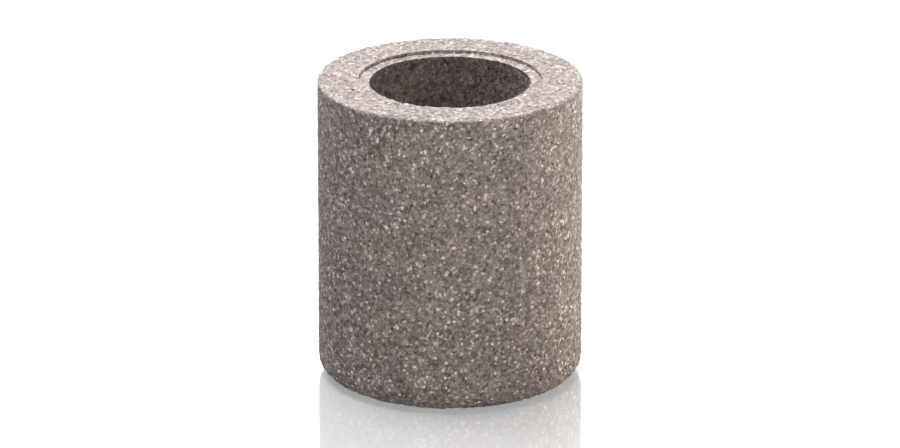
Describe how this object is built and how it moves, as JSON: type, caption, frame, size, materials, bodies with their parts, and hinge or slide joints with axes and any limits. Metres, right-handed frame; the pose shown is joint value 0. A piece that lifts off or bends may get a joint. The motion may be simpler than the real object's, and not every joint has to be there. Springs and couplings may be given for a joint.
{
  "type": "sintered filter element",
  "caption": "Thick-walled sintered filter cup with a blind bore, a shallow ledge round its mouth and a rounded base edge, for straining gas or liquid through its porous wall.",
  "frame": {"origin": "centre of the flat base, on the axis of the cup", "axes": "+Z along the axis, out of the open mouth; X and Y are any two directions across it, as the cup is round"},
  "size_m": [0.04, 0.04, 0.0465],
  "materials": {
    "sintered": "bare porous sintered powder, matte, open-grained, warm grey with small glints"
  },
  "bodies": {
    "root": {"filter_cup": "sintered"}
  },
  "joints": []
}
